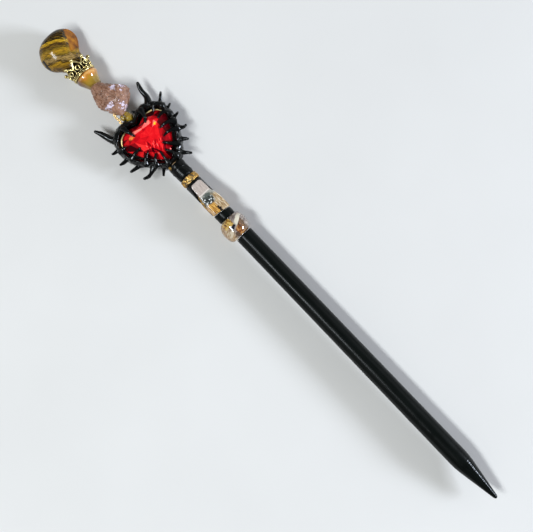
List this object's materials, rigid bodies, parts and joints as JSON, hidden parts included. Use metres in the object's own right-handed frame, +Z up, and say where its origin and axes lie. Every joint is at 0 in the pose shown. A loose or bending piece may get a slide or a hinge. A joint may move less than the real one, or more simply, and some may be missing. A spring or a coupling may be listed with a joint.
{
  "type": "magic wand",
  "caption": "Long black sharpened dowel wand with a red faceted heart gem in a black thorn frame, and a handle of crystals, amber, a gold crown cap and a banded stone pommel.",
  "frame": {"origin": "under the middle of the wand, on the surface it lies on", "axes": "+X runs along the wand from the stone pommel to the sharpened tip, +Z is up and is the way the heart gem faces, +Y is to the left of +X"},
  "size_m": [0.305, 0.0383, 0.0157],
  "materials": {
    "amber_resin": "glossy, translucent",
    "antique_gold": "antiqued, dark in the recesses",
    "bare_wood": "bare",
    "black_dowel": "satin black paint over turned wood",
    "black_wrap": "wrinkled satin black",
    "clear_glass": "polished, clear with warm refractions",
    "clear_quartz": "clear with a milky flat face",
    "foil": "bright",
    "gloss_black": "glossy, modelled by hand",
    "gold_leaf": "crumpled leaf",
    "gold_wire": "drawn wire",
    "red_glass": "faceted, polished",
    "rough_stone": "raw crystalline, sparkling",
    "steel_pin": "drawn",
    "tiger_eye": "polished, banded brown and gold"
  },
  "bodies": {
    "root": {"amber_drop": "amber_resin", "amber_link": "amber_resin", "amber_neck": "amber_resin", "bead_cap": "antique_gold", "binding_wire_a": "gold_wire", "binding_wire_b": "gold_wire", "claw_01": "gloss_black", "claw_02": "gloss_black", "claw_03": "gloss_black", "claw_04": "gloss_black", "claw_05": "gloss_black", "claw_06": "gloss_black", "claw_07": "gloss_black", "claw_08": "gloss_black", "claw_09": "gloss_black", "claw_10": "gloss_black", "claw_11": "gloss_black", "claw_12": "gloss_black", "claw_13": "gloss_black", "clear_bead": "clear_glass", "crystal_socket": "gloss_black", "gem_bed": "gloss_black", "gem_foil": "foil", "gold_leaf_bed": "gold_leaf", "gold_leaf_ring": "gold_leaf", "handle_core": "bare_wood", "handle_pin": "steel_pin", "heart_frame": "gloss_black", "heart_gem": "red_glass", "horn_lower": "gloss_black", "horn_upper": "gloss_black", "pommel_stone": "tiger_eye", "quartz_point": "clear_quartz", "rough_quartz": "rough_stone", "shaft": "black_dowel", "shaft_pin": "steel_pin", "sleeve_wrap": "black_wrap", "spacer_band": "black_dowel", "thorn_01": "gloss_black", "thorn_02": "gloss_black", "thorn_03": "gloss_black", "thorn_04": "gloss_black", "thorn_05": "gloss_black", "thorn_06": "gloss_black", "thorn_07": "gloss_black", "thorn_08": "gloss_black", "thorn_09": "gloss_black", "thorn_10": "gloss_black", "thorn_11": "gloss_black", "thorn_12": "gloss_black", "thorn_13": "gloss_black"}
  },
  "joints": []
}
